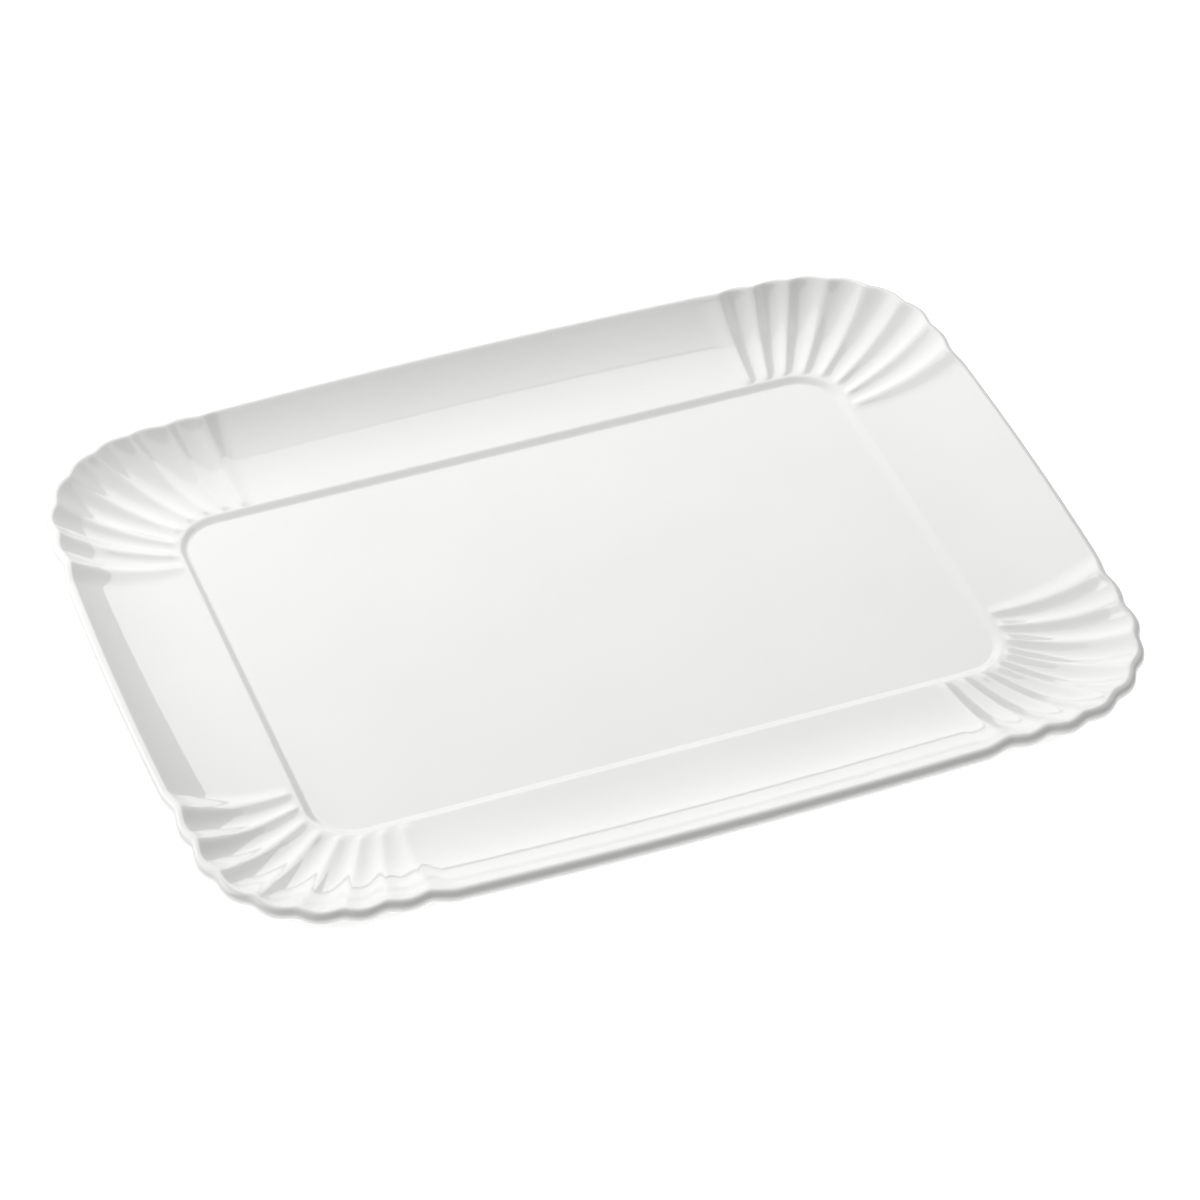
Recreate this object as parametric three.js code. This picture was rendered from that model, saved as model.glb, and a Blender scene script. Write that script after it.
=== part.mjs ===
// A china serving platter in the form of a pastry tray: a flat oblong well inside a low step, gently bowed
// sides that sweep up to a rounded edge, and a fan of seven shallow flutes round each corner.
// Millimetres, +Z up, the origin on the resting plane under the middle of the platter.
import * as THREE from "three";

// Heights.
const FOOT_HEIGHT = 2.5;
const FLOOR_THICKNESS = 4.8;
const STEP_RISE = 1.3;
const RIM_RISE = 8.7; // from the well's floor to the middle of the rounded edge
const CORNER_LIFT = 0.65; // how much higher the edge stands round the corners

// Plan of the well, and of the step around it.
const WELL = { halfLength: 128.3, halfWidth: 86, cornerRadius: 14 };
const STEP_WIDTH = 4.5;

// Plan of the line through the middle of the rounded edge. The sides are arcs of large radius.
const RIM = { halfLength: 177.6, halfWidth: 138.2, cornerRadius: 49 };
const SHORT_SIDE_RADIUS = 1800;
const LONG_SIDE_RADIUS = 2600;

// Section of the wall.
const WALL_HALF_THICKNESS = 2.4;
const EDGE_RADIUS = 2.7;
const WALL_CURVE = 2.6; // power of the rise: nearly flat by the well, steepest at the edge

// Flutes. They lie between ridges that stand up inside the wall, and lean inwards at the edge.
const FLUTES = 7;
const END_FLANK = 2 / 3; // width of the slope from a fan's outermost ridge down to the plain wall, in flutes
const BACK_FAN = { wellX: 97, wellY: 60.5, rimX: 95.5, rimY: 60 };
const FRONT_FAN = { wellX: 97.5, wellY: 57.5, rimX: 97.5, rimY: 54.5 };
const RIDGE_HEIGHT_AT_WELL = 0.5;
const RIDGE_HEIGHT_AT_RIM = 1.45;
const RIDGE_LEAN = THREE.MathUtils.degToRad(78);
const RIDGE_SPREAD = 0.03; // how much wider the ridges stand towards the short sides
const RIDGE_ROUNDING = 0.35;
const RIDGE_FADE = 0.06; // share of the wall over which a ridge starts

// The foot.
const FOOT_INSET = 4;
const FOOT_WIDTH = 5;
const FOOT_TAPER = 0.8;
const FOOT_ROUNDING = 1.2;

// Fineness of the surface.
const STEPS_PER_FLUTE = 6;
const STEPS_PER_HALF_SIDE = 3;
const STEPS_ON_STEP = 4;
const STEPS_UP_WALL = 8;
const STEPS_UNDER_WALL = 6;
const STEPS_ROUND_EDGE = 6;
const STEPS_ROUND_FOOT_CORNER = 8;

const STEP_EDGE = {
  halfLength: WELL.halfLength + STEP_WIDTH,
  halfWidth: WELL.halfWidth + STEP_WIDTH,
  cornerRadius: WELL.cornerRadius + STEP_WIDTH,
};
const WELL_LEVEL = FOOT_HEIGHT + FLOOR_THICKNESS;

// A circular arc in plan from one angle to another, anticlockwise.
function arc(centre, radius, from, to) {
  return new THREE.EllipseCurve(centre.x, centre.y, radius, radius, from, to);
}

// The centre of the corner arc that runs smoothly into both bowed sides of the rim.
function rimCornerCentre(shortSideCentre, longSideCentre) {
  const reach1 = SHORT_SIDE_RADIUS - RIM.cornerRadius;
  const reach2 = LONG_SIDE_RADIUS - RIM.cornerRadius;
  const across = longSideCentre.clone().sub(shortSideCentre);
  const gap = across.length();
  across.normalize();
  const along = (gap * gap + reach1 * reach1 - reach2 * reach2) / (2 * gap);
  const away = Math.sqrt(reach1 * reach1 - along * along);
  const square = new THREE.Vector2(-across.y, across.x);
  return shortSideCentre.clone().addScaledVector(across, along).addScaledVector(square, away);
}

// One quarter of the rim in plan, split at the ends of its fan.
function rimQuarter(fan) {
  const shortCentre = new THREE.Vector2(RIM.halfLength - SHORT_SIDE_RADIUS, 0);
  const longCentre = new THREE.Vector2(0, RIM.halfWidth - LONG_SIDE_RADIUS);
  const cornerCentre = rimCornerCentre(shortCentre, longCentre);
  const cornerFrom = cornerCentre.clone().sub(shortCentre).angle();
  const cornerTo = cornerCentre.clone().sub(longCentre).angle();
  const fanFrom = Math.asin(fan.rimY / SHORT_SIDE_RADIUS);
  const fanTo = Math.acos(fan.rimX / LONG_SIDE_RADIUS);
  const corner = new THREE.CurvePath();
  corner.add(arc(shortCentre, SHORT_SIDE_RADIUS, fanFrom, cornerFrom));
  corner.add(arc(cornerCentre, RIM.cornerRadius, cornerFrom, cornerTo));
  corner.add(arc(longCentre, LONG_SIDE_RADIUS, cornerTo, fanTo));
  return {
    shortSide: arc(shortCentre, SHORT_SIDE_RADIUS, 0, fanFrom),
    corner,
    longSide: arc(longCentre, LONG_SIDE_RADIUS, fanTo, Math.PI / 2),
  };
}

// One quarter of the step's outer edge in plan, split in the same way.
function stepQuarter(fan) {
  const { halfLength, halfWidth, cornerRadius } = STEP_EDGE;
  const middleOfShort = new THREE.Vector2(halfLength, 0);
  const fanFrom = new THREE.Vector2(halfLength, fan.wellY);
  const arcFrom = new THREE.Vector2(halfLength, halfWidth - cornerRadius);
  const arcTo = new THREE.Vector2(halfLength - cornerRadius, halfWidth);
  const fanTo = new THREE.Vector2(fan.wellX, halfWidth);
  const middleOfLong = new THREE.Vector2(0, halfWidth);
  const corner = new THREE.CurvePath();
  corner.add(new THREE.LineCurve(fanFrom, arcFrom));
  corner.add(arc(new THREE.Vector2(arcTo.x, arcFrom.y), cornerRadius, 0, Math.PI / 2));
  corner.add(new THREE.LineCurve(arcTo, fanTo));
  return {
    shortSide: new THREE.LineCurve(middleOfShort, fanFrom),
    corner,
    longSide: new THREE.LineCurve(fanTo, middleOfLong),
  };
}

// The height of the fan's surface: 1 on a ridge and 0 along the bottom of a flute. Turn counts the ridges.
function ridgeShape(turn) {
  const wave = Math.sin(Math.PI * turn);
  const rounded = Math.hypot(wave, RIDGE_ROUNDING) - RIDGE_ROUNDING;
  return 1 - rounded / (Math.hypot(1, RIDGE_ROUNDING) - RIDGE_ROUNDING);
}

// The ridge height and the lift at a share of the way across a fan. Both fall to 0 down the end flanks.
function fanShape(share) {
  const turn = share * (FLUTES + 2 * END_FLANK) - END_FLANK;
  const beyond = Math.max(-turn, turn - FLUTES, 0) / END_FLANK;
  return {
    ridge: ridgeShape(beyond > 0 ? beyond / 2 : turn),
    lift: THREE.MathUtils.smoothstep(1 - beyond, 0, 1),
  };
}

// The outward normal of the step's edge at a point on it.
function stepNormal(point) {
  const x = Math.max(point.x - (STEP_EDGE.halfLength - STEP_EDGE.cornerRadius), 0);
  const y = Math.max(point.y - (STEP_EDGE.halfWidth - STEP_EDGE.cornerRadius), 0);
  return new THREE.Vector2(x, y).normalize();
}

// The stations of one quarter, anticlockwise from the X axis to the Y axis. Each holds the point where
// the wall starts, the point where it ends, the step's normal, the ridge height and the lift.
function quarterStations(fan) {
  const step = stepQuarter(fan);
  const rim = rimQuarter(fan);
  const plain = { ridge: 0, lift: 0 };
  const stations = [];
  const add = (start, end, shape) => {
    stations.push({ start, end, normal: stepNormal(start), ...shape });
  };
  for (let i = 0; i < STEPS_PER_HALF_SIDE; i++) {
    const share = i / STEPS_PER_HALF_SIDE;
    add(step.shortSide.getPoint(share), rim.shortSide.getPoint(share), plain);
  }
  const count = Math.round((FLUTES + 2 * END_FLANK) * STEPS_PER_FLUTE);
  for (let i = 0; i <= count; i++) {
    const share = i / count;
    const rimShare = share + RIDGE_SPREAD * Math.sin(Math.PI * share);
    add(step.corner.getPoint(share), rim.corner.getPoint(rimShare), fanShape(share));
  }
  for (let i = 1; i <= STEPS_PER_HALF_SIDE; i++) {
    const share = i / STEPS_PER_HALF_SIDE;
    add(step.longSide.getPoint(share), rim.longSide.getPoint(share), plain);
  }
  return stations;
}

// A quarter's stations mirrored in X, in Y or in both.
function mirrored(stations, signX, signY) {
  const flip = new THREE.Vector2(signX, signY);
  const copies = stations.map((s) => ({
    ...s,
    start: s.start.clone().multiply(flip),
    end: s.end.clone().multiply(flip),
    normal: s.normal.clone().multiply(flip),
  }));
  return signX * signY < 0 ? copies.reverse() : copies;
}

// All the stations round the platter, anticlockwise, each one once.
function allStations() {
  const back = quarterStations(BACK_FAN);
  const front = quarterStations(FRONT_FAN);
  const quarters = [
    mirrored(back, 1, 1),
    mirrored(back, -1, 1),
    mirrored(front, -1, -1),
    mirrored(front, 1, -1),
  ];
  return quarters.flatMap((stations) => stations.slice(0, -1));
}

// A point of the wall's middle surface in a station's section: how far out it is, and its height.
function wallMiddle(station, t) {
  const run = station.start.distanceTo(station.end);
  const base = STEP_RISE - WALL_HALF_THICKNESS;
  const rise = RIM_RISE + CORNER_LIFT * station.lift - base;
  const fade = THREE.MathUtils.smoothstep(t, 0, RIDGE_FADE);
  const height = THREE.MathUtils.lerp(RIDGE_HEIGHT_AT_WELL, RIDGE_HEIGHT_AT_RIM, t) * fade * station.ridge;
  const out = run * t - height * Math.sin(RIDGE_LEAN * t);
  const up = base + rise * t ** WALL_CURVE + height * Math.cos(RIDGE_LEAN * t);
  return new THREE.Vector2(out, WELL_LEVEL + up);
}

// The direction of the wall's section at t, pointing out and up along the wall.
function wallDirection(station, t) {
  const span = 0.01;
  const before = wallMiddle(station, Math.max(t - span, 0));
  const after = wallMiddle(station, Math.min(t + span, 1));
  return after.sub(before).normalize();
}

// A section point turned into a point in space.
function place(station, section) {
  const along = station.end.clone().sub(station.start).normalize();
  const plan = station.start.clone().addScaledVector(along, section.x);
  return new THREE.Vector3(plan.x, plan.y, section.y);
}

// A point of the wall's skin: turn is 0 on top, 1 underneath, and in between it goes round the edge.
function wallSkin(station, t, turn) {
  const half = THREE.MathUtils.lerp(WALL_HALF_THICKNESS, EDGE_RADIUS, t);
  const direction = wallDirection(station, t);
  const upward = new THREE.Vector2(-direction.y, direction.x);
  const section = wallMiddle(station, t)
    .addScaledVector(upward, half * Math.cos(Math.PI * turn))
    .addScaledVector(direction, half * Math.sin(Math.PI * turn));
  return place(station, section);
}

// A point of the step: share is 0 at the well's floor and 1 at the wall's start.
function stepSkin(station, share) {
  const plan = station.start.clone().addScaledVector(station.normal, STEP_WIDTH * (share - 1));
  return new THREE.Vector3(plan.x, plan.y, WELL_LEVEL + STEP_RISE * THREE.MathUtils.smoothstep(share, 0, 1));
}

// The rings of the body in order: from the well's floor over the wall and the edge to the underside.
function bodyRings(stations) {
  const rings = [];
  for (let i = 0; i < STEPS_ON_STEP; i++) {
    rings.push(stations.map((s) => stepSkin(s, i / STEPS_ON_STEP)));
  }
  for (let i = 0; i <= STEPS_UP_WALL; i++) {
    rings.push(stations.map((s) => wallSkin(s, i / STEPS_UP_WALL, 0)));
  }
  for (let i = 1; i < STEPS_ROUND_EDGE; i++) {
    rings.push(stations.map((s) => wallSkin(s, 1, i / STEPS_ROUND_EDGE)));
  }
  for (let i = STEPS_UNDER_WALL; i >= 0; i--) {
    rings.push(stations.map((s) => wallSkin(s, i / STEPS_UNDER_WALL, 1)));
  }
  rings.push(stations.map((s) => stepSkin(s, 0).setZ(FOOT_HEIGHT)));
  return rings;
}

// A closed surface through rings of points. Flat ends fan out from a middle point; a tube joins its last
// ring to its first.
function skin(rings, ends) {
  const count = rings[0].length;
  const points = rings.flat();
  const faces = [];
  const bands = ends ? rings.length - 1 : rings.length;
  for (let band = 0; band < bands; band++) {
    const near = band * count;
    const far = ((band + 1) % rings.length) * count;
    for (let i = 0; i < count; i++) {
      const next = (i + 1) % count;
      faces.push(near + i, far + i, far + next, near + i, far + next, near + next);
    }
  }
  if (ends) {
    const last = (rings.length - 1) * count;
    const first = points.push(new THREE.Vector3(0, 0, rings[0][0].z)) - 1;
    const under = points.push(new THREE.Vector3(0, 0, rings.at(-1)[0].z)) - 1;
    for (let i = 0; i < count; i++) {
      const next = (i + 1) % count;
      faces.push(first, i, next, under, last + next, last + i);
    }
  }
  const geometry = new THREE.BufferGeometry().setFromPoints(points);
  geometry.setIndex(faces);
  geometry.computeVertexNormals();
  return geometry;
}

// A rounded rectangle in plan, inset from the well's edge, as a ring of points at one height.
function footRing(inset, height) {
  const x = WELL.halfLength - WELL.cornerRadius;
  const y = WELL.halfWidth - WELL.cornerRadius;
  const radius = WELL.cornerRadius - inset;
  const points = [];
  for (const [signX, signY, from] of [[1, 1, 0], [-1, 1, 1], [-1, -1, 2], [1, -1, 3]]) {
    for (let i = 0; i <= STEPS_ROUND_FOOT_CORNER; i++) {
      const angle = ((from + i / STEPS_ROUND_FOOT_CORNER) * Math.PI) / 2;
      const px = signX * x + radius * Math.cos(angle);
      const py = signY * y + radius * Math.sin(angle);
      points.push(new THREE.Vector3(px, py, height));
    }
  }
  return points;
}

// The foot: a low tapered ring with rounded resting edges.
function footGeometry() {
  const outer = FOOT_INSET;
  const inner = FOOT_INSET + FOOT_WIDTH;
  const lowered = FOOT_ROUNDING * (1 - Math.SQRT1_2);
  const rings = [
    footRing(inner, FOOT_HEIGHT),
    footRing(outer, FOOT_HEIGHT),
    footRing(outer + FOOT_TAPER, FOOT_ROUNDING),
    footRing(outer + FOOT_TAPER + lowered, lowered),
    footRing(outer + FOOT_TAPER + FOOT_ROUNDING, 0),
    footRing(inner - FOOT_TAPER - FOOT_ROUNDING, 0),
    footRing(inner - FOOT_TAPER - lowered, lowered),
    footRing(inner - FOOT_TAPER, FOOT_ROUNDING),
  ];
  return skin(rings, false);
}

function bodyMesh() {
  const glaze = new THREE.MeshStandardMaterial({ color: 0xf6f6f4, roughness: 0.12, metalness: 0 });
  const mesh = new THREE.Mesh(skin(bodyRings(allStations()), true), glaze);
  mesh.name = "platter_body";
  return mesh;
}

function footMesh() {
  const biscuit = new THREE.MeshStandardMaterial({ color: 0xe9e5dc, roughness: 0.8, metalness: 0 });
  const mesh = new THREE.Mesh(footGeometry(), biscuit);
  mesh.name = "foot_ring";
  return mesh;
}

const platter = new THREE.Group();
platter.add(bodyMesh(), footMesh());

export default platter;
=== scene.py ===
"""A white porcelain serving platter in the form of a pastry tray, on a plain white studio floor."""
import math

import bpy
import numpy as np
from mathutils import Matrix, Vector


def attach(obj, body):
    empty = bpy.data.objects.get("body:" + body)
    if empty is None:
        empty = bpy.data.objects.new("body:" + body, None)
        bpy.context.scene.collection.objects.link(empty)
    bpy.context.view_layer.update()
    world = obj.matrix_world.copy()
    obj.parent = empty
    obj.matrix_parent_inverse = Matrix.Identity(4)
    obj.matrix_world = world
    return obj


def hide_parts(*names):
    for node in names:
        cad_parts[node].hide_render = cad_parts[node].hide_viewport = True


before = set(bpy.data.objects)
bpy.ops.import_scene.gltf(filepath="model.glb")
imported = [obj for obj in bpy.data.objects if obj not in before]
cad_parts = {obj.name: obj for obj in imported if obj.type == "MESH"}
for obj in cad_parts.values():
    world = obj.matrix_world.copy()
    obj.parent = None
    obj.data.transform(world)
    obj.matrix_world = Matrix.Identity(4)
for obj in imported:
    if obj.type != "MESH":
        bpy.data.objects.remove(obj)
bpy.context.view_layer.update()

MM = 0.001

# The body's driving dimensions, as the CAD model has them.
FOOT_HEIGHT = 2.5 * MM
FLOOR_THICKNESS = 4.8 * MM
WELL_LEVEL = FOOT_HEIGHT + FLOOR_THICKNESS
STEP_RISE = 1.3 * MM
STEP_WIDTH = 4.5 * MM
RIM_RISE = 8.7 * MM
CORNER_LIFT = 0.65 * MM
WELL_HALF = (128.3 * MM, 86 * MM)
WELL_CORNER = 14 * MM
RIM_HALF = (177.6 * MM, 138.2 * MM)
RIM_CORNER = 49 * MM
SHORT_SIDE_RADIUS = 1800 * MM
LONG_SIDE_RADIUS = 2600 * MM
WALL_HALF_THICKNESS = 2.4 * MM
EDGE_RADIUS = 2.7 * MM
WALL_CURVE = 2.6
FLUTES = 7
END_FLANK = 2 / 3
BACK_FAN_AT_WELL = (97 * MM, 60.5 * MM)
BACK_FAN_AT_RIM = (95.5 * MM, 60 * MM)
FRONT_FAN_AT_WELL = (97.5 * MM, 57.5 * MM)
FRONT_FAN_AT_RIM = (97.5 * MM, 54.5 * MM)
RIDGE_HEIGHT_AT_WELL = 0.5 * MM
RIDGE_HEIGHT_AT_RIM = 1.45 * MM
RIDGE_LEAN = math.radians(78)
RIDGE_SPREAD = 0.03
RIDGE_ROUNDING = 0.35
RIDGE_FADE = 0.06
FOOT_INSET = 4 * MM
FOOT_WIDTH = 5 * MM
FOOT_TAPER = 0.8 * MM
FOOT_ROUNDING = 1.2 * MM

# Fineness of the surface.
STEPS_PER_FLUTE = 24
STEPS_PER_HALF_SIDE = 12
STEPS_ON_STEP = 16
STEPS_UP_WALL = 48
STEPS_UNDER_WALL = 24
STEPS_ROUND_EDGE = 16
STEPS_ROUND_FOOT_CORNER = 24
STEPS_ROUND_FOOT_EDGE = 8

# The share of the wall to either side of a point over which its direction is taken.
TANGENT_SPAN = 0.005

# The camera. Its aim is this far to the right of the middle of the well, and this far above it.
CAMERA_AZIMUTH = math.radians(-20.73)
CAMERA_ELEVATION = math.radians(41.65)
CAMERA_DISTANCE = 1.8046
CAMERA_LENS = 148.24
SENSOR_WIDTH = 36
AIM_RIGHT = 5.1 * MM
AIM_UP = -1.5 * MM

# The part of a noise's range over which a colour changes.
RAMP_ENDS = (0.35, 0.65)

# The glaze. A scale is in features to the metre.
GLAZE_IOR = 1.52
GLAZE_TONES = ((0.808, 0.808, 0.796), (0.822, 0.822, 0.811))
GLAZE_ROUGHNESS = (0.02, 0.06)
CLOUD_SCALE, CLOUD_DETAIL = 18, 3
POLISH_SCALE, POLISH_DETAIL = 40, 4
WAVE_SCALE, WAVE_DETAIL = 45, 2
WAVE_DEPTH = 0.04 * MM
PEEL_SCALE, PEEL_DETAIL = 300, 1
PEEL_DEPTH = 0.003 * MM

# The glaze's pinholes: how many cells to the metre, and the share of the cells that have one.
PINHOLE_CELLS = 30
PINHOLE_SHARE = 0.25
PINHOLE_RADIUS = 0.25 * MM
PINHOLE_DEPTH = 0.1 * MM
PINHOLE_COLOUR = (0.42, 0.39, 0.34)

# The bare porcelain of the foot, and the soil on it.
BISCUIT_TONES = ((0.64, 0.61, 0.54), (0.73, 0.70, 0.64))
BISCUIT_ROUGHNESS = (0.7, 0.95)
GRAIN_SCALE, GRAIN_DETAIL = 1400, 6
GRAIN_DEPTH = 0.02 * MM
SOIL_SCALE, SOIL_DETAIL = 120, 5
SOIL_RANGE = (-0.3, 0.9)
SOIL_COLOUR = (0.40, 0.37, 0.32)

# The studio.
FLOOR_SIZE = 8
FLOOR_COLOUR = (0.95, 0.95, 0.95)
FLOOR_GLOW = 0.85
FLOOR_SHADE_EDGE = 30 * MM
WORLD_GLOW = 0.15

# Each softbox: azimuth and elevation in degrees, distance and size in metres, power in watts.
SOFTBOXES = {
    "back_softbox": (-4, 39, 1.0, (1.2, 0.77), 6.6),
    "low_softbox": (10, 7.5, 1.3, (1.0, 0.3), 1.4),
    "overhead_softbox": (0, 76, 1.2, (1.2, 0.65), 3.1),
    "key_softbox": (-62, 38, 1.1, (0.9, 0.75), 5.5),
    "right_softbox": (85, 38, 1.1, (0.7, 0.5), 1.0),
}


def smoothstep(x):
    """A rise from 0 to 1 that is level at both ends."""
    x = np.clip(x, 0, 1)
    return x * x * (3 - 2 * x)


def unit(v):
    """Vectors scaled to a length of 1."""
    return v / np.linalg.norm(v, axis=-1, keepdims=True)


def arc(centre, radius, start, end, share):
    """Points on a circular arc, at shares of its length."""
    angle = start + (end - start) * share
    return np.stack([centre[0] + radius * np.cos(angle), centre[1] + radius * np.sin(angle)], -1)


def along_path(pieces, share):
    """Points at shares of the length of a path of (length, function of share) pieces."""
    lengths = np.array([length for length, _ in pieces])
    ends = np.concatenate([[0], np.cumsum(lengths)])
    at = share * ends[-1]
    points = np.zeros((len(share), 2))
    for i, (length, curve) in enumerate(pieces):
        here = (at >= ends[i]) & ((at < ends[i + 1]) | (i == len(pieces) - 1))
        points[here] = curve((at[here] - ends[i]) / length)
    return points


def line(start, end):
    """A straight piece of a path: its length, and its points at shares of that length."""
    start, end = np.array(start), np.array(end)
    return np.linalg.norm(end - start), lambda share: start + (end - start) * share[:, None]


def bow(centre, radius, start, end):
    """A curved piece of a path: its length, and its points at shares of that length."""
    return radius * (end - start), lambda share: arc(centre, radius, start, end, share)


def angle_of(v):
    """The direction of a vector in plan."""
    return math.atan2(v[1], v[0])


def rim_curves(fan_at):
    """One quarter of the rim in plan: the short side, the fluted corner and the long side."""
    short = np.array([RIM_HALF[0] - SHORT_SIDE_RADIUS, 0])
    long = np.array([0, RIM_HALF[1] - LONG_SIDE_RADIUS])
    short_reach = SHORT_SIDE_RADIUS - RIM_CORNER
    long_reach = LONG_SIDE_RADIUS - RIM_CORNER
    gap = np.linalg.norm(long - short)
    across = (long - short) / gap
    along = (gap**2 + short_reach**2 - long_reach**2) / (2 * gap)
    away = math.sqrt(short_reach**2 - along**2)
    corner = short + across * along + np.array([-across[1], across[0]]) * away
    corner_from = angle_of(corner - short)
    corner_to = angle_of(corner - long)
    fan_from = math.asin(fan_at[1] / SHORT_SIDE_RADIUS)
    fan_to = math.acos(fan_at[0] / LONG_SIDE_RADIUS)
    return (
        [bow(short, SHORT_SIDE_RADIUS, 0, fan_from)],
        [
            bow(short, SHORT_SIDE_RADIUS, fan_from, corner_from),
            bow(corner, RIM_CORNER, corner_from, corner_to),
            bow(long, LONG_SIDE_RADIUS, corner_to, fan_to),
        ],
        [bow(long, LONG_SIDE_RADIUS, fan_to, math.pi / 2)],
    )


def step_curves(fan_at):
    """One quarter of the step's outer edge in plan, in the same three parts."""
    x, y = WELL_HALF[0] + STEP_WIDTH, WELL_HALF[1] + STEP_WIDTH
    radius = WELL_CORNER + STEP_WIDTH
    from_x, from_y = fan_at
    corner = (x - radius, y - radius)
    return (
        [line((x, 0), (x, from_y))],
        [
            line((x, from_y), (x, corner[1])),
            bow(corner, radius, 0, math.pi / 2),
            line((corner[0], y), (from_x, y)),
        ],
        [line((from_x, y), (0, y))],
    )


def flute_shape(turn):
    """0 on a ridge and 1 along the bottom of a flute, with the ridges rounded."""
    wave = np.hypot(np.sin(math.pi * turn), RIDGE_ROUNDING) - RIDGE_ROUNDING
    return wave / (math.hypot(1, RIDGE_ROUNDING) - RIDGE_ROUNDING)


def corner_shape(share):
    """The ridges across a fluted corner, and its lift. Each end slopes down to the plain wall."""
    turn = share * (FLUTES + 2 * END_FLANK) - END_FLANK
    beyond = np.maximum(np.maximum(-turn, turn - FLUTES), 0)
    turn = np.where(beyond > 0, beyond / (2 * END_FLANK), turn)
    return 1 - flute_shape(turn), smoothstep(1 - beyond / END_FLANK)


def quarter_stations(fan_at_well, fan_at_rim):
    """One quarter's stations, from +X to +Y.

    They have the wall's start and end points, the step's normals, the ridges and the lift.
    """
    side = np.arange(STEPS_PER_HALF_SIDE) / STEPS_PER_HALF_SIDE
    count = round((FLUTES + 2 * END_FLANK) * STEPS_PER_FLUTE)
    corner = np.arange(count + 1) / count
    rim_corner = corner + RIDGE_SPREAD * np.sin(math.pi * corner)
    step_shares = (side, corner, 1 - side[::-1])
    rim_shares = (side, rim_corner, 1 - side[::-1])
    steps, rims = step_curves(fan_at_well), rim_curves(fan_at_rim)
    start = np.concatenate([along_path(*pair) for pair in zip(steps, step_shares)])
    end = np.concatenate([along_path(*pair) for pair in zip(rims, rim_shares)])
    flat = np.zeros(len(side))
    ridge, lift = (np.concatenate([flat, across, flat]) for across in corner_shape(corner))
    inner = np.array(WELL_HALF) - WELL_CORNER
    normal = unit(np.maximum(start - inner, 0))
    return start, end, normal, ridge, lift


def stations():
    """The stations all round the platter, anticlockwise: two quarters and their mirror images."""
    back = quarter_stations(BACK_FAN_AT_WELL, BACK_FAN_AT_RIM)
    front = quarter_stations(FRONT_FAN_AT_WELL, FRONT_FAN_AT_RIM)
    rounds = []
    for quarter, sx, sy in ((back, 1, 1), (back, -1, 1), (front, -1, -1), (front, 1, -1)):
        turned = [a * (sx, sy) if a.ndim == 2 else a for a in quarter]
        if sx * sy < 0:
            turned = [a[::-1] for a in turned]
        rounds.append([a[:-1] for a in turned])
    return [np.concatenate(arrays) for arrays in zip(*rounds)]


def wall_middle(around, t):
    """The wall's middle surface at t in each station's section: distance out, and height."""
    start, end, _, ridge, lift = around
    run = np.linalg.norm(end - start, axis=1)
    base = STEP_RISE - WALL_HALF_THICKNESS
    rise = RIM_RISE + CORNER_LIFT * lift - base
    height = RIDGE_HEIGHT_AT_WELL + (RIDGE_HEIGHT_AT_RIM - RIDGE_HEIGHT_AT_WELL) * t
    height = height * smoothstep(t / RIDGE_FADE) * ridge
    out = run * t - height * math.sin(RIDGE_LEAN * t)
    up = base + rise * t**WALL_CURVE + height * math.cos(RIDGE_LEAN * t)
    return np.stack([out, WELL_LEVEL + up], -1)


def wall_skin(around, t, turn):
    """The wall's surface at t. A turn of 0 is on top, 1 is underneath, and between is the edge."""
    start, end = around[:2]
    ahead = wall_middle(around, min(t + TANGENT_SPAN, 1))
    behind = wall_middle(around, max(t - TANGENT_SPAN, 0))
    direction = unit(ahead - behind)
    upward = np.stack([-direction[:, 1], direction[:, 0]], -1)
    half = WALL_HALF_THICKNESS + (EDGE_RADIUS - WALL_HALF_THICKNESS) * t
    outward = math.cos(math.pi * turn) * upward + math.sin(math.pi * turn) * direction
    section = wall_middle(around, t) + half * outward
    plan = start + unit(end - start) * section[:, :1]
    return np.column_stack([plan, section[:, 1]])


def step_skin(around, share, level=None):
    """The step at a share of its width; level makes a flat ring instead."""
    start, _, normal = around[:3]
    plan = start + normal * STEP_WIDTH * (share - 1)
    height = WELL_LEVEL + STEP_RISE * smoothstep(share) if level is None else level
    return np.column_stack([plan, np.full(len(plan), height)])


def body_rings():
    """The body's section: up the step and the wall, round the edge, back underneath to the foot."""
    around = stations()
    rings = [step_skin(around, i / STEPS_ON_STEP) for i in range(STEPS_ON_STEP)]
    rings += [wall_skin(around, i / STEPS_UP_WALL, 0) for i in range(STEPS_UP_WALL + 1)]
    rings += [wall_skin(around, 1, i / STEPS_ROUND_EDGE) for i in range(1, STEPS_ROUND_EDGE)]
    rings += [wall_skin(around, i / STEPS_UNDER_WALL, 1) for i in range(STEPS_UNDER_WALL, -1, -1)]
    rings.append(step_skin(around, 0, FOOT_HEIGHT))
    return rings


def skin(name, rings, ends):
    """A smooth closed mesh through rings of points, with flat ends or joined into a tube."""
    count = len(rings[0])
    points = np.concatenate(rings)
    here = np.arange(count)
    after = (here + 1) % count
    faces = []
    for band in range(len(rings) - 1 if ends else len(rings)):
        near = band * count
        far = (band + 1) % len(rings) * count
        faces += np.stack([near + here, far + here, far + after, near + after], -1).tolist()
    if ends:
        faces.append(here.tolist())
        faces.append((here[::-1] + (len(rings) - 1) * count).tolist())
    mesh = bpy.data.meshes.new(name)
    mesh.from_pydata(points.tolist(), [], faces)
    mesh.update()
    mesh.shade_smooth()
    piece = bpy.data.objects.new(name, mesh)
    bpy.context.collection.objects.link(piece)
    return piece


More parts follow.
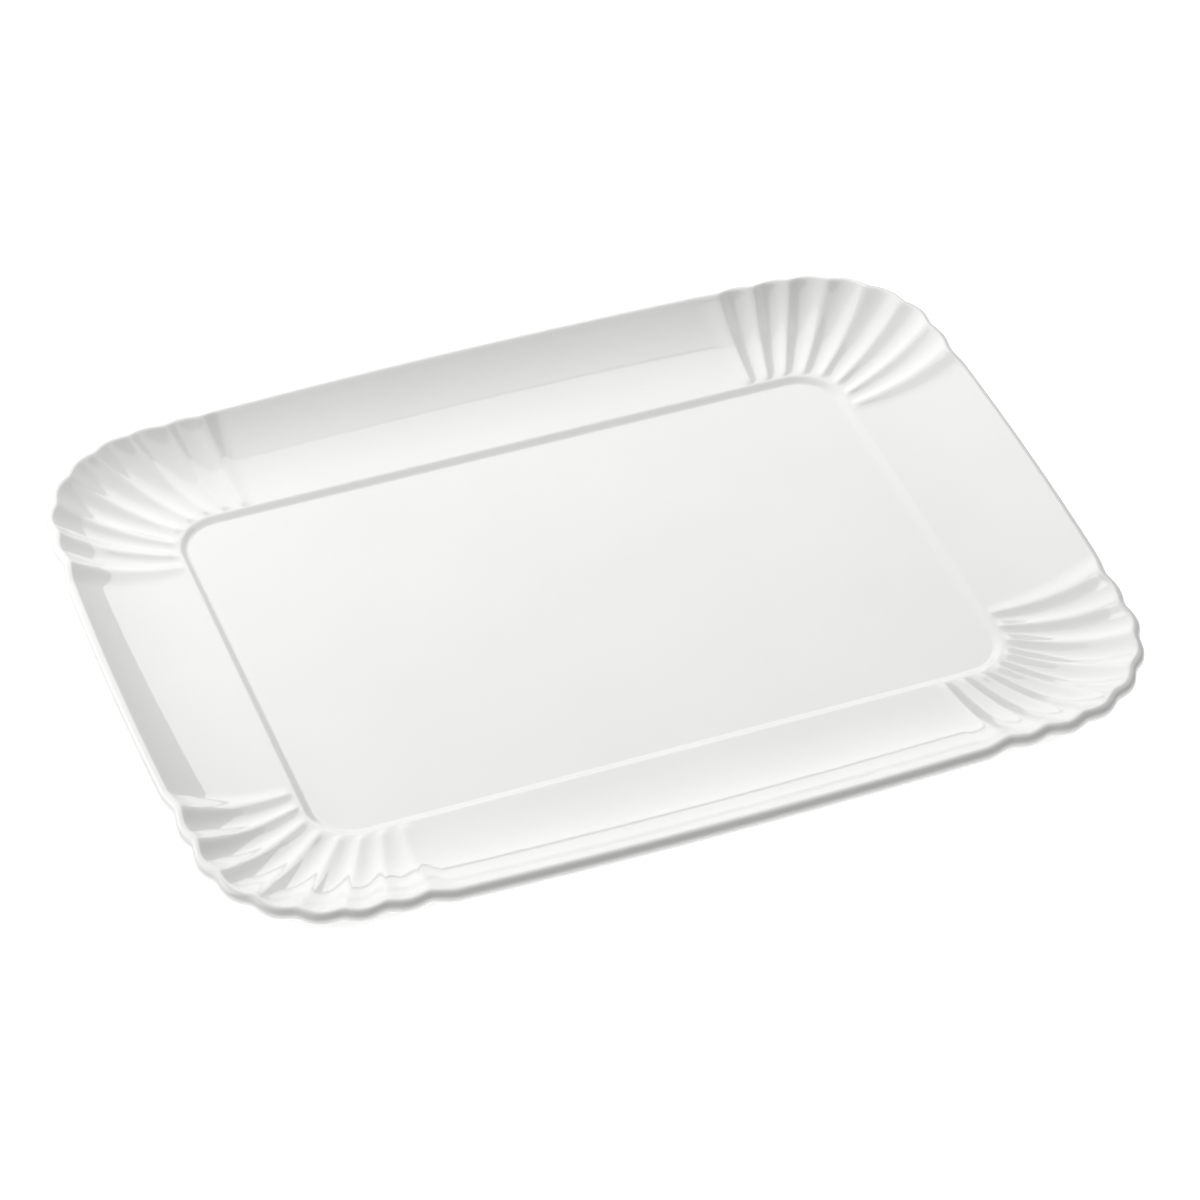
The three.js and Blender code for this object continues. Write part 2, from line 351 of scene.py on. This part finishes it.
def foot_ring(inset, height):
    """A rounded rectangle, inset from the well's edge, as a ring of points at one height."""
    radius = WELL_CORNER - inset
    turn = np.arange(STEPS_ROUND_FOOT_CORNER + 1) / STEPS_ROUND_FOOT_CORNER
    points = []
    for quarter, (sx, sy) in enumerate(((1, 1), (-1, 1), (-1, -1), (1, -1))):
        centre = (sx * (WELL_HALF[0] - WELL_CORNER), sy * (WELL_HALF[1] - WELL_CORNER))
        start = quarter * math.pi / 2
        points.append(arc(centre, radius, start, start + math.pi / 2, turn))
    plan = np.concatenate(points)
    return np.column_stack([plan, np.full(len(plan), height)])


def foot_rings():
    """The section of the foot: flat on top, tapered sides, and rounded resting edges."""
    outer, inner = FOOT_INSET, FOOT_INSET + FOOT_WIDTH
    turns = np.linspace(0, math.pi / 2, STEPS_ROUND_FOOT_EDGE + 1)
    inset = FOOT_TAPER + FOOT_ROUNDING * (1 - np.cos(turns))
    height = FOOT_ROUNDING * (1 - np.sin(turns))
    rings = [foot_ring(inner, FOOT_HEIGHT), foot_ring(outer, FOOT_HEIGHT)]
    rings += [foot_ring(outer + i, h) for i, h in zip(inset, height)]
    rings += [foot_ring(inner - i, h) for i, h in zip(inset[::-1], height[::-1])]
    return rings


def procedural(name):
    """A new material: its nodes, its links, its shader, and the object coordinates in metres."""
    material = bpy.data.materials.new(name)
    material.use_nodes = True
    nodes, links = material.node_tree.nodes, material.node_tree.links
    place = nodes.new("ShaderNodeTexCoord").outputs["Object"]
    return material, nodes, links, nodes["Principled BSDF"], place


def noise(nodes, links, place, scale, detail):
    """A noise texture with features of about 1 / scale metres."""
    texture = nodes.new("ShaderNodeTexNoise")
    texture.inputs["Scale"].default_value = scale
    texture.inputs["Detail"].default_value = detail
    links.new(place, texture.inputs["Vector"])
    return texture.outputs["Fac"]


def ramp(nodes, links, value, low, high):
    """A colour between low and high, as the value goes over the middle of its range."""
    colour = nodes.new("ShaderNodeValToRGB")
    for element, position, tone in zip(colour.color_ramp.elements, RAMP_ENDS, (low, high)):
        element.position = position
        element.color = (*tone, 1)
    links.new(value, colour.inputs["Fac"])
    return colour.outputs["Color"]


def spread(nodes, links, value, low, high):
    """The value mapped from 0..1 to low..high."""
    mapped = nodes.new("ShaderNodeMapRange")
    mapped.inputs["To Min"].default_value = low
    mapped.inputs["To Max"].default_value = high
    links.new(value, mapped.inputs["Value"])
    return mapped.outputs["Result"]


def relief(nodes, links, height, depth, below=None):
    """A bump of a depth in metres, on top of another one where there is one."""
    bump = nodes.new("ShaderNodeBump")
    bump.inputs["Distance"].default_value = depth
    links.new(height, bump.inputs["Height"])
    if below is not None:
        links.new(below, bump.inputs["Normal"])
    return bump.outputs["Normal"]


def pinholes(nodes, links, place):
    """1 everywhere but in a few tiny pits, where it falls to 0. A share of the cells have one."""
    cells = nodes.new("ShaderNodeTexVoronoi")
    cells.inputs["Scale"].default_value = PINHOLE_CELLS
    links.new(place, cells.inputs["Vector"])
    pit = nodes.new("ShaderNodeMapRange")
    pit.inputs["From Max"].default_value = PINHOLE_RADIUS * PINHOLE_CELLS
    links.new(cells.outputs["Distance"], pit.inputs["Value"])
    pick = nodes.new("ShaderNodeSeparateColor")
    links.new(cells.outputs["Color"], pick.inputs["Color"])
    spared = nodes.new("ShaderNodeMath")
    spared.operation = "GREATER_THAN"
    spared.inputs[1].default_value = PINHOLE_SHARE
    links.new(pick.outputs["Red"], spared.inputs[0])
    either = nodes.new("ShaderNodeMath")
    either.operation = "MAXIMUM"
    links.new(pit.outputs["Result"], either.inputs[0])
    links.new(spared.outputs["Value"], either.inputs[1])
    return either.outputs["Value"]


def glaze():
    """Clear gloss glaze on white porcelain: faintly clouded, a little wavy, with a few pinholes."""
    material, nodes, links, shader, place = procedural("white_glaze")
    shader.inputs["IOR"].default_value = GLAZE_IOR
    clouds = noise(nodes, links, place, CLOUD_SCALE, CLOUD_DETAIL)
    pits = pinholes(nodes, links, place)
    body_colour = ramp(nodes, links, clouds, *GLAZE_TONES)
    pitted = nodes.new("ShaderNodeMix")
    pitted.data_type = "RGBA"
    pitted.inputs["A"].default_value = (*PINHOLE_COLOUR, 1)
    links.new(pits, pitted.inputs["Factor"])
    links.new(body_colour, pitted.inputs["B"])
    links.new(pitted.outputs["Result"], shader.inputs["Base Color"])
    polish = noise(nodes, links, place, POLISH_SCALE, POLISH_DETAIL)
    links.new(spread(nodes, links, polish, *GLAZE_ROUGHNESS), shader.inputs["Roughness"])
    waves = relief(nodes, links, noise(nodes, links, place, WAVE_SCALE, WAVE_DETAIL), WAVE_DEPTH)
    peel = noise(nodes, links, place, PEEL_SCALE, PEEL_DETAIL)
    peeled = relief(nodes, links, peel, PEEL_DEPTH, waves)
    links.new(relief(nodes, links, pits, PINHOLE_DEPTH, peeled), shader.inputs["Normal"])
    return material


def biscuit():
    """Bare fired porcelain: matt and finely grained, a little soiled towards the resting face."""
    material, nodes, links, shader, place = procedural("bare_porcelain")
    grain = noise(nodes, links, place, GRAIN_SCALE, GRAIN_DETAIL)
    clean = ramp(nodes, links, grain, *BISCUIT_TONES)
    soil = noise(nodes, links, place, SOIL_SCALE, SOIL_DETAIL)
    axes = nodes.new("ShaderNodeSeparateXYZ")
    links.new(place, axes.inputs["Vector"])
    low = nodes.new("ShaderNodeMapRange")
    low.inputs["From Max"].default_value = FOOT_ROUNDING
    low.inputs["To Min"].default_value = 1
    low.inputs["To Max"].default_value = 0
    links.new(axes.outputs["Z"], low.inputs["Value"])
    soiled = nodes.new("ShaderNodeMath")
    soiled.operation = "MULTIPLY"
    soiled.use_clamp = True
    links.new(low.outputs["Result"], soiled.inputs[0])
    links.new(spread(nodes, links, soil, *SOIL_RANGE), soiled.inputs[1])
    worn = nodes.new("ShaderNodeMix")
    worn.data_type = "RGBA"
    worn.inputs["B"].default_value = (*SOIL_COLOUR, 1)
    links.new(soiled.outputs["Value"], worn.inputs["Factor"])
    links.new(clean, worn.inputs["A"])
    links.new(worn.outputs["Result"], shader.inputs["Base Color"])
    links.new(spread(nodes, links, grain, *BISCUIT_ROUGHNESS), shader.inputs["Roughness"])
    links.new(relief(nodes, links, grain, GRAIN_DEPTH), shader.inputs["Normal"])
    return material


def part(name, rings, ends, material, node):
    """A piece of the platter in place of a CAD node."""
    piece = skin(name, rings, ends)
    piece.data.materials.append(material)
    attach(piece, "root")
    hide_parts(node)


def floor():
    """A white floor. It glows a little, except under the platter, so that no grey shadow shows."""
    bpy.ops.mesh.primitive_plane_add(size=FLOOR_SIZE, location=(0, 0, 0))
    plane = bpy.context.object
    plane.name = "floor"
    material, nodes, links, shader, place = procedural("floor")
    shader.inputs["Base Color"].default_value = (*FLOOR_COLOUR, 1)
    shader.inputs["Roughness"].default_value = 1
    shader.inputs["Specular IOR Level"].default_value = 0
    shader.inputs["Emission Color"].default_value = (1, 1, 1, 1)
    size = nodes.new("ShaderNodeVectorMath")
    size.operation = "ABSOLUTE"
    beyond = nodes.new("ShaderNodeVectorMath")
    beyond.operation = "SUBTRACT"
    beyond.inputs[1].default_value = (RIM_HALF[0] - RIM_CORNER, RIM_HALF[1] - RIM_CORNER, 0)
    outside = nodes.new("ShaderNodeVectorMath")
    outside.operation = "MAXIMUM"
    distance = nodes.new("ShaderNodeVectorMath")
    distance.operation = "LENGTH"
    glow = nodes.new("ShaderNodeMapRange")
    glow.inputs["From Min"].default_value = RIM_CORNER - FLOOR_SHADE_EDGE
    glow.inputs["From Max"].default_value = RIM_CORNER
    glow.inputs["To Max"].default_value = FLOOR_GLOW
    links.new(place, size.inputs[0])
    links.new(size.outputs["Vector"], beyond.inputs[0])
    links.new(beyond.outputs["Vector"], outside.inputs[0])
    links.new(outside.outputs["Vector"], distance.inputs[0])
    links.new(distance.outputs["Value"], glow.inputs["Value"])
    links.new(glow.outputs["Result"], shader.inputs["Emission Strength"])
    plane.data.materials.append(material)


def softbox(name, azimuth, elevation, distance, size, power):
    """An area light aimed at the platter. Azimuth is from +Y towards +X, in degrees."""
    a, e = math.radians(azimuth), math.radians(elevation)
    data = bpy.data.lights.new(name, "AREA")
    data.shape = "RECTANGLE"
    data.size, data.size_y = size
    data.energy = power
    lamp = bpy.data.objects.new(name, data)
    toward = Vector((math.sin(a) * math.cos(e), math.cos(a) * math.cos(e), math.sin(e)))
    lamp.location = toward * distance
    lamp.rotation_euler = toward.to_track_quat("Z", "Y").to_euler()
    bpy.context.collection.objects.link(lamp)


def lights():
    """The softboxes, and a faint even light from all round."""
    for name, placing in SOFTBOXES.items():
        softbox(name, *placing)
    world = bpy.data.worlds.new("studio")
    world.use_nodes = True
    background = world.node_tree.nodes["Background"]
    background.inputs["Color"].default_value = (1, 1, 1, 1)
    background.inputs["Strength"].default_value = WORLD_GLOW
    bpy.context.scene.world = world


def camera():
    """A long lens that looks down at the platter from the front left."""
    ahead = Vector((-math.sin(CAMERA_AZIMUTH), math.cos(CAMERA_AZIMUTH), 0))
    right = Vector((ahead.y, -ahead.x, 0))
    up = ahead * math.sin(CAMERA_ELEVATION) + Vector((0, 0, math.cos(CAMERA_ELEVATION)))
    look = ahead * math.cos(CAMERA_ELEVATION) - Vector((0, 0, math.sin(CAMERA_ELEVATION)))
    aim = Vector((0, 0, WELL_LEVEL)) + right * AIM_RIGHT + up * AIM_UP
    data = bpy.data.cameras.new("camera")
    data.lens = CAMERA_LENS
    data.sensor_width = SENSOR_WIDTH
    eye = bpy.data.objects.new("camera", data)
    eye.location = aim - look * CAMERA_DISTANCE
    eye.rotation_euler = look.to_track_quat("-Z", "Y").to_euler()
    bpy.context.collection.objects.link(eye)
    bpy.context.scene.camera = eye


part("glazed_body", body_rings(), True, glaze(), "platter_body")
part("foot", foot_rings(), False, biscuit(), "foot_ring")
floor()
lights()
camera()
bpy.context.scene.view_settings.view_transform = "Standard"
